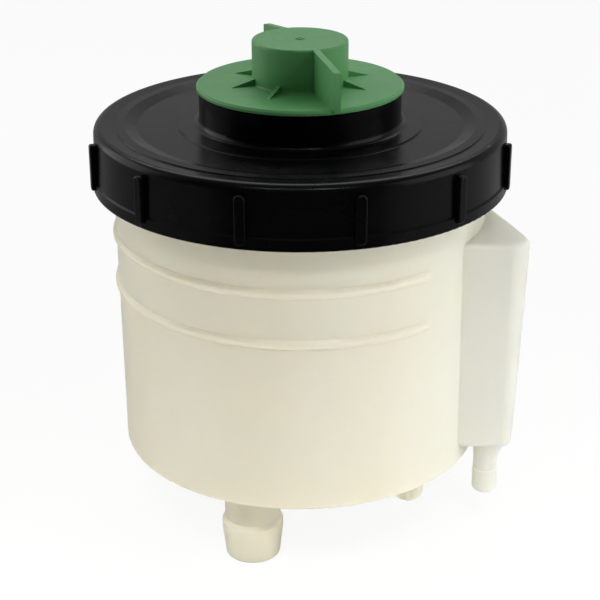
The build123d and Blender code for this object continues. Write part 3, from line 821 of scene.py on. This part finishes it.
@dataclass
class FilterElement(Assembly):
    """The filter element with its bypass valve, and what holds it down."""

    finishes: Finishes
    coil_wire: float = 0.9 * MM
    coil_turns: int = 4
    coil_steps: int = 40
    coil_sides: int = 14
    coil_margin: float = 0.02 * MM
    valve_lift: float = 2.5 * MM
    smooth_angle: float = 70.0

    def build(self) -> None:
        """Dress the paper, the sheet metal, the springs and the grommet."""
        self.dress(self.finishes.paper, "filter_paper")
        self.dress(self.finishes.plate, "filter_top_plate", "filter_bottom_plate", "filter_core")
        self.dress(self.finishes.plate, "bypass_valve", "bypass_cage", "spring_cup")
        self.dress(self.finishes.wire, "bypass_spring", "hold_down_spring")
        self.dress(self.finishes.rubber, "filter_grommet")
        coil = self._coil()
        self.mount(coil, self.finishes.wire, "spring_steel", Body.TANK)
        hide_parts("bypass_spring")
        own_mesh(coil)

    def _coil(self) -> bpy.types.Object:
        """The bypass valve's coil."""
        low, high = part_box("bypass_spring")
        radius = self.coil_wire / 2
        rise = high[2] - low[2] - self.coil_wire - 2 * self.coil_margin
        Bench.clear()
        bpy.ops.mesh.primitive_circle_add(
            vertices=self.coil_sides,
            radius=radius - self.coil_margin,
            location=(high[0] - radius, 0, low[2] + radius + self.coil_margin),
            rotation=(math.pi / 2, 0, 0),
        )
        coil = bpy.context.object
        Bench.settle(coil, "bypass_coil")
        turns = coil.modifiers.new("turns", "SCREW")
        turns.axis = "Z"
        turns.screw_offset = rise / self.coil_turns
        turns.iterations = self.coil_turns
        turns.steps = turns.render_steps = self.coil_steps
        bpy.ops.object.modifier_apply(modifier=turns.name)
        bpy.ops.object.mode_set(mode="EDIT")
        bpy.ops.mesh.select_all(action="SELECT")
        bpy.ops.mesh.fill_holes(sides=0)
        Bench.tidy(MM / 1000)
        bpy.ops.object.mode_set(mode="OBJECT")
        Bench.smooth(coil, self.smooth_angle)
        return coil


@dataclass(frozen=True)
class Softbox:
    """A large soft lamp."""

    name: str
    place: Colour
    width: float
    height: float
    power: float
    aim: Colour = (0.0, 0.0, 0.08)
    spread: float = 180.0

    def hang(self) -> None:
        """Hang the lamp where it stands in the studio and face it to the object."""
        data = bpy.data.lights.new(self.name, "AREA")
        data.shape = "RECTANGLE"
        data.size, data.size_y = self.width, self.height
        data.energy = self.power
        data.spread = math.radians(self.spread)
        lamp = bpy.data.objects.new(self.name, data)
        lamp.location = self.place
        lamp.rotation_euler = (Vector(self.aim) - Vector(self.place)).to_track_quat("-Z", "Y").to_euler()
        bpy.context.scene.collection.objects.link(lamp)


@dataclass
class Studio:
    """A pale floor, a bright backdrop, soft lamps and the camera."""

    floor_height: float = -32.5 * MM
    floor_width: float = 6.0
    floor_paint: Colour = (0.88, 0.88, 0.87)
    floor_glow: float = 0.9
    floor_mirrored_front: float = 0.04
    floor_mirrored_left: float = 0.3
    floor_mirrored_right: float = 0.5
    floor_side_reach: float = 0.4
    floor_dark_to: float = 40.0
    floor_bright_from: float = 48.0
    camera_place: Colour = (0.0, -593.6 * MM, 312.8 * MM)
    camera_pitch: float = 66.581
    camera_yaw: float = 0.021
    camera_roll: float = -0.107
    focal_pixels: float = 1588.2
    image_pixels: float = 600.0
    sensor_width: float = 36.0
    clip_start: float = 0.01
    room_light: float = 0.02
    backdrop_light: float = 0.2
    wrap_light: float = 0.34
    backdrop_ramp: tuple[float, float] = (-0.2, 0.7)
    wrap_ramp: tuple[float, float] = (-0.5, 0.2)
    softboxes: tuple[Softbox, ...] = (
        Softbox("left_softbox", (-0.9, 0.3, 0.35), 0.8, 0.8, power=3.3),
        Softbox("right_softbox", (0.9, -0.2, 0.4), 0.8, 0.8, power=3.9),
        Softbox("back_softbox", (0.0, 0.85, 1.15), 1.4, 0.6, power=6.4),
        Softbox(
            "floor_left_softbox",
            (-0.3, -0.6, 0.7),
            0.4,
            0.3,
            power=0.86,
            aim=(-0.2, -0.28, -0.03),
            spread=34.0,
        ),
        Softbox(
            "floor_right_softbox",
            (0.3, -0.6, 0.7),
            0.4,
            0.3,
            power=0.84,
            aim=(0.25, -0.24, -0.03),
            spread=34.0,
        ),
    )

    def build(self) -> None:
        """Make the studio."""
        self._camera()
        self._floor()
        self._world()
        for softbox in self.softboxes:
            softbox.hang()
        bpy.context.scene.view_settings.view_transform = "Standard"

    def _camera(self) -> None:
        """Stand the camera where the photograph was taken."""
        data = bpy.data.cameras.new("camera")
        data.sensor_width = self.sensor_width
        data.lens = self.focal_pixels / self.image_pixels * self.sensor_width
        data.clip_start = self.clip_start
        camera = bpy.data.objects.new("camera", data)
        bpy.context.scene.collection.objects.link(camera)
        turn = (
            Matrix.Rotation(math.radians(self.camera_yaw), 4, "Z")
            @ Matrix.Rotation(math.radians(self.camera_pitch), 4, "X")
            @ Matrix.Rotation(math.radians(self.camera_roll), 4, "Z")
        )
        camera.matrix_world = Matrix.Translation(self.camera_place) @ turn
        bpy.context.scene.camera = camera

    def _floor(self) -> None:
        """Lay the pale floor, which shows near white to the camera and keeps the object's shadow."""
        Bench.clear()
        bpy.ops.mesh.primitive_plane_add(size=self.floor_width, location=(0, 0, self.floor_height))
        floor = bpy.context.object
        floor.name = "floor"
        material = bpy.data.materials.new("pale_floor")
        material.use_nodes = True
        nodes, links = material.node_tree.nodes, material.node_tree.links
        nodes.clear()
        output = nodes.new("ShaderNodeOutputMaterial")
        paint = nodes.new("ShaderNodeBsdfDiffuse")
        paint.inputs["Color"].default_value = (*self.floor_paint, 1)
        glow = nodes.new("ShaderNodeEmission")
        seen = nodes.new("ShaderNodeMixShader")
        path = nodes.new("ShaderNodeLightPath")
        share = nodes.new("ShaderNodeMath")
        share.operation = "MULTIPLY"
        share.inputs[1].default_value = self.floor_glow
        links.new(path.outputs["Is Camera Ray"], share.inputs[0])
        links.new(share.outputs["Value"], seen.inputs["Fac"])
        links.new(paint.outputs["BSDF"], seen.inputs[1])
        links.new(glow.outputs["Emission"], seen.inputs[2])
        mirrored = nodes.new("ShaderNodeMixShader")
        links.new(path.outputs["Is Glossy Ray"], mirrored.inputs["Fac"])
        links.new(seen.outputs["Shader"], mirrored.inputs[1])
        links.new(self._mirrored_floor(nodes, links), mirrored.inputs[2])
        links.new(mirrored.outputs["Shader"], output.inputs["Surface"])
        floor.data.materials.append(material)

    def _mirrored_floor(self, nodes: bpy.types.Nodes, links: bpy.types.NodeLinks) -> Socket:
        """How gloss shows the floor: dark before the object, brighter to the left and most to the right.

        Args:
            nodes: The floor material's nodes.
            links: Its links.

        Returns:
            The glow that gloss shows.
        """
        place = nodes.new("ShaderNodeTexCoord")
        direction = nodes.new("ShaderNodeVectorMath")
        direction.operation = "NORMALIZE"
        links.new(place.outputs["Object"], direction.inputs[0])
        parts = nodes.new("ShaderNodeSeparateXYZ")
        links.new(direction.outputs["Vector"], parts.inputs["Vector"])
        side = nodes.new("ShaderNodeMapRange")
        side.inputs["From Min"].default_value = -self.floor_side_reach
        side.inputs["From Max"].default_value = self.floor_side_reach
        side.inputs["To Min"].default_value = self.floor_mirrored_left
        side.inputs["To Max"].default_value = self.floor_mirrored_right
        links.new(parts.outputs["X"], side.inputs["Value"])
        front = nodes.new("ShaderNodeMapRange")
        front.inputs["From Min"].default_value = -math.cos(math.radians(self.floor_dark_to))
        front.inputs["From Max"].default_value = -math.cos(math.radians(self.floor_bright_from))
        front.inputs["To Min"].default_value = self.floor_mirrored_front
        front.inputs["To Max"].default_value = 1.0
        links.new(parts.outputs["Y"], front.inputs["Value"])
        strength = nodes.new("ShaderNodeMath")
        strength.operation = "MULTIPLY"
        links.new(side.outputs["Result"], strength.inputs[0])
        links.new(front.outputs["Result"], strength.inputs[1])
        glow = nodes.new("ShaderNodeEmission")
        links.new(strength.outputs["Value"], glow.inputs["Strength"])
        return glow.outputs["Emission"]

    def _world(self) -> None:
        """Light from all round, white to the camera and dimmer from the front."""
        world = bpy.data.worlds.new("studio")
        bpy.context.scene.world = world
        world.use_nodes = True
        nodes, links = world.node_tree.nodes, world.node_tree.links
        nodes.clear()
        output = nodes.new("ShaderNodeOutputWorld")
        seen = nodes.new("ShaderNodeBackground")
        seen.inputs["Color"].default_value = (1, 1, 1, 1)
        lit = nodes.new("ShaderNodeBackground")
        place = nodes.new("ShaderNodeTexCoord")
        parts = nodes.new("ShaderNodeSeparateXYZ")
        links.new(place.outputs["Generated"], parts.inputs["Vector"])
        whole = nodes.new("ShaderNodeMath")
        whole.inputs[1].default_value = 0.0
        ramps = (
            (*self.backdrop_ramp, self.room_light, self.backdrop_light),
            (*self.wrap_ramp, 0.0, self.wrap_light),
        )
        for index, (start, end, low, light) in enumerate(ramps):
            depth = nodes.new("ShaderNodeMapRange")
            depth.inputs["From Min"].default_value = start
            depth.inputs["From Max"].default_value = end
            depth.inputs["To Min"].default_value = low
            depth.inputs["To Max"].default_value = low + light
            links.new(parts.outputs["Y"], depth.inputs["Value"])
            links.new(depth.outputs["Result"], whole.inputs[index])
        links.new(whole.outputs["Value"], lit.inputs["Strength"])
        mix = nodes.new("ShaderNodeMixShader")
        path = nodes.new("ShaderNodeLightPath")
        links.new(path.outputs["Is Camera Ray"], mix.inputs["Fac"])
        links.new(lit.outputs["Background"], mix.inputs[1])
        links.new(seen.outputs["Background"], mix.inputs[2])
        links.new(mix.outputs["Shader"], output.inputs["Surface"])


def main() -> None:
    """Set up the studio and build each sub-assembly in order."""
    finishes = Finishes()
    Studio().build()
    for kind in (Tank, ScrewLid, FillerCap, Strainer, FilterElement):
        assembly = kind(finishes)
        assembly.build()
        log.info("%s is built", type(assembly).__name__)


if __name__ == "__main__":
    main()
